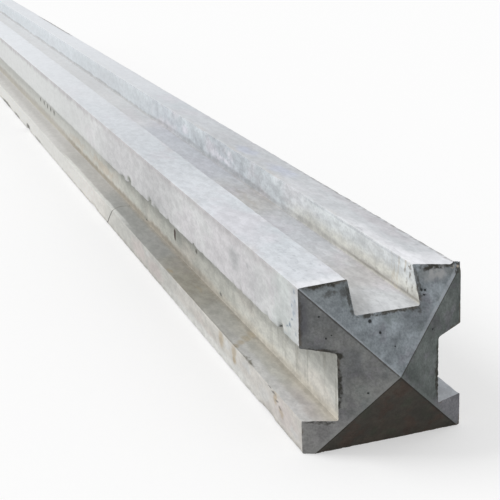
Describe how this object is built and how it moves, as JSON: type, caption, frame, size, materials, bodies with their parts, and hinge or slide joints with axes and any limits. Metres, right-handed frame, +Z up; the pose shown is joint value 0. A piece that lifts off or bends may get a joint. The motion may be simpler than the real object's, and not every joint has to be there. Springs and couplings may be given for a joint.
{
  "type": "concrete fence post",
  "caption": "Cast concrete fence post of square section with panel slots in the upper face and both sides, a plain underside and a pyramid-shaped head.",
  "frame": {"origin": "under the middle of the post's length, on the plain face that it lies on", "axes": "+X along the post towards the pointed head, +Y across it, +Z up from the plain face to the face with the middle slot"},
  "size_m": [2.4, 0.125, 0.1295],
  "materials": {
    "concrete": "matte, as cast, pale on the long faces and darker blue-grey on the head"
  },
  "bodies": {
    "root": {"fence_post": "concrete"}
  },
  "joints": []
}
